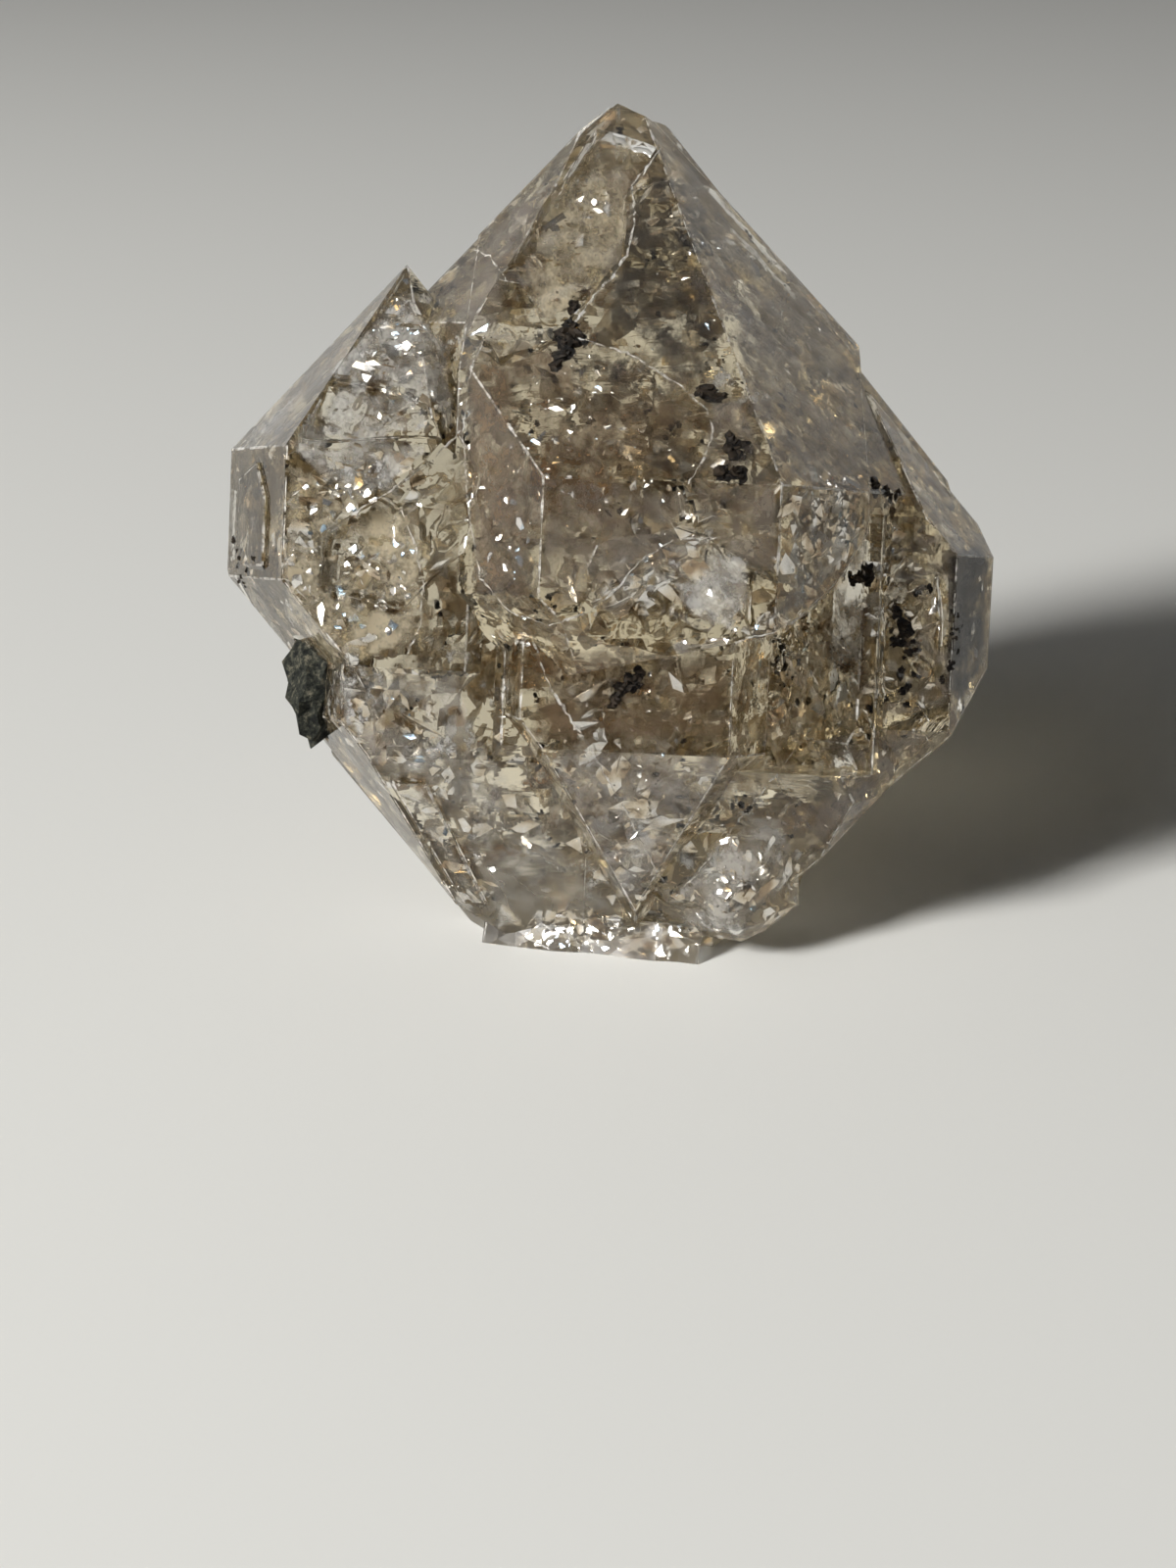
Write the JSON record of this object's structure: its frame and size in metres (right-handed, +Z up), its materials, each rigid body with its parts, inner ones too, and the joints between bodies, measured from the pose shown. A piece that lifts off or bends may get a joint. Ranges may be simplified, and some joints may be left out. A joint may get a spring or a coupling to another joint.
{
  "type": "herkimer diamond",
  "caption": "Cluster of doubly terminated smoky quartz crystals grown through each other, with broken faces, black inclusions and a crumb of host rock; stands on a small flat.",
  "frame": {"origin": "middle of the standing cluster's bounding box, at the height of the surface it rests on", "axes": "+Z up, -Y towards the show side of the picture, +X to its right"},
  "size_m": [0.0764, 0.0626, 0.0791],
  "materials": {
    "quartz": "clear smoky quartz with flat glossy crystal faces, glossy shell-shaped breaks and a rough frosted foot",
    "matrix_crust": "dull dark green-black and grey-brown dolostone crumb"
  },
  "bodies": {
    "root": {"quartz": "quartz", "matrix_crust": "matrix_crust"}
  },
  "joints": []
}
